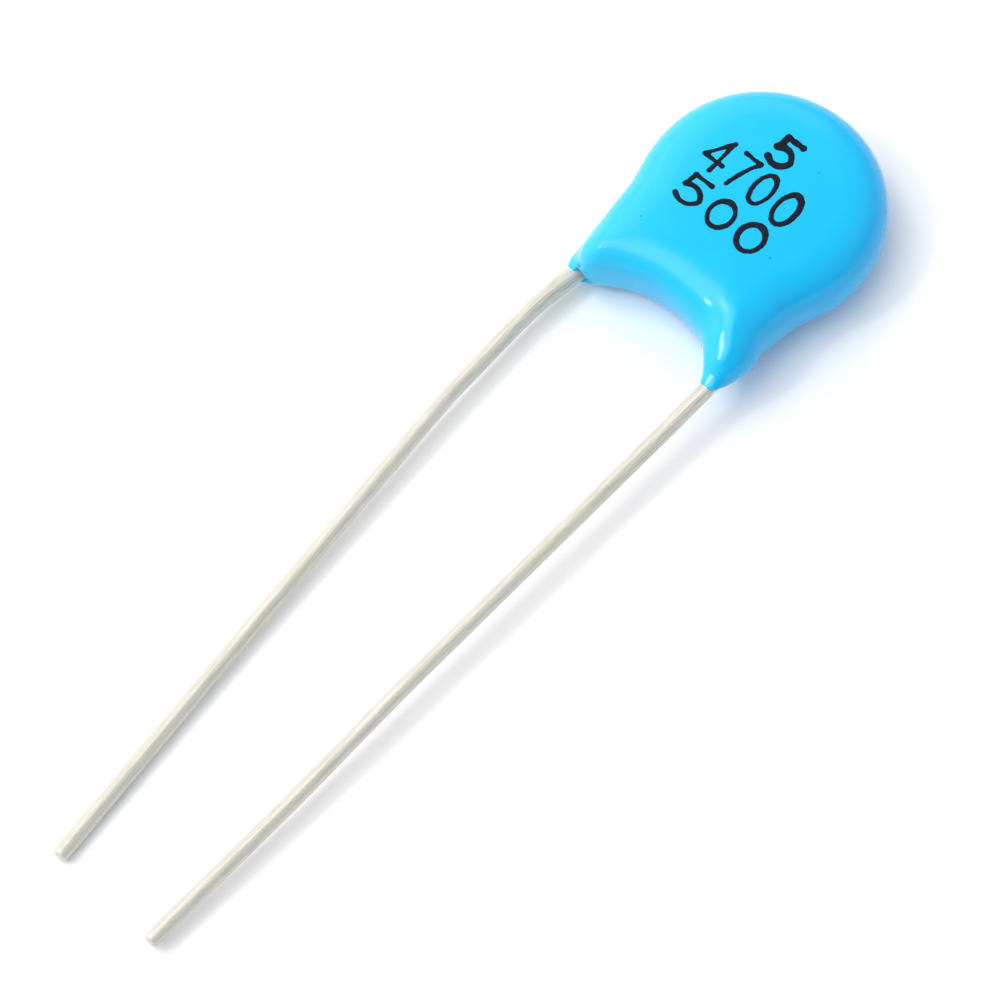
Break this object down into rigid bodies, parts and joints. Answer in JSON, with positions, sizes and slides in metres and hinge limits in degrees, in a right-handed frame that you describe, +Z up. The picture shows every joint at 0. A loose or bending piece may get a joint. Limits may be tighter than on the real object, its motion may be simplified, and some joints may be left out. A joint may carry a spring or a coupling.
{
  "type": "ceramic disc capacitor",
  "caption": "Dipped ceramic disc capacitor: glossy blue rounded disc with tapered coated legs and straight tinned radial leads.",
  "frame": {"origin": "centre of the small flat on the back of the coated disc, on the floor", "axes": "+X across the leads from left to right seen from the front, +Y from the leads to the top of the disc, +Z up through the printed front"},
  "size_m": [0.0092, 0.0399, 0.0034],
  "materials": {
    "resin": "glossy dipped epoxy, sky blue",
    "lead_wire": "tinned wire with fine drawing lines",
    "dielectric": "matte fired ceramic",
    "silver": "matte fired silver film",
    "solder": "smooth solder"
  },
  "bodies": {
    "root": {"coating": "resin", "ceramic_disc": "dielectric", "front_electrode": "silver", "back_electrode": "silver", "front_solder": "solder", "back_solder": "solder", "left_lead": "lead_wire", "right_lead": "lead_wire"}
  },
  "joints": []
}
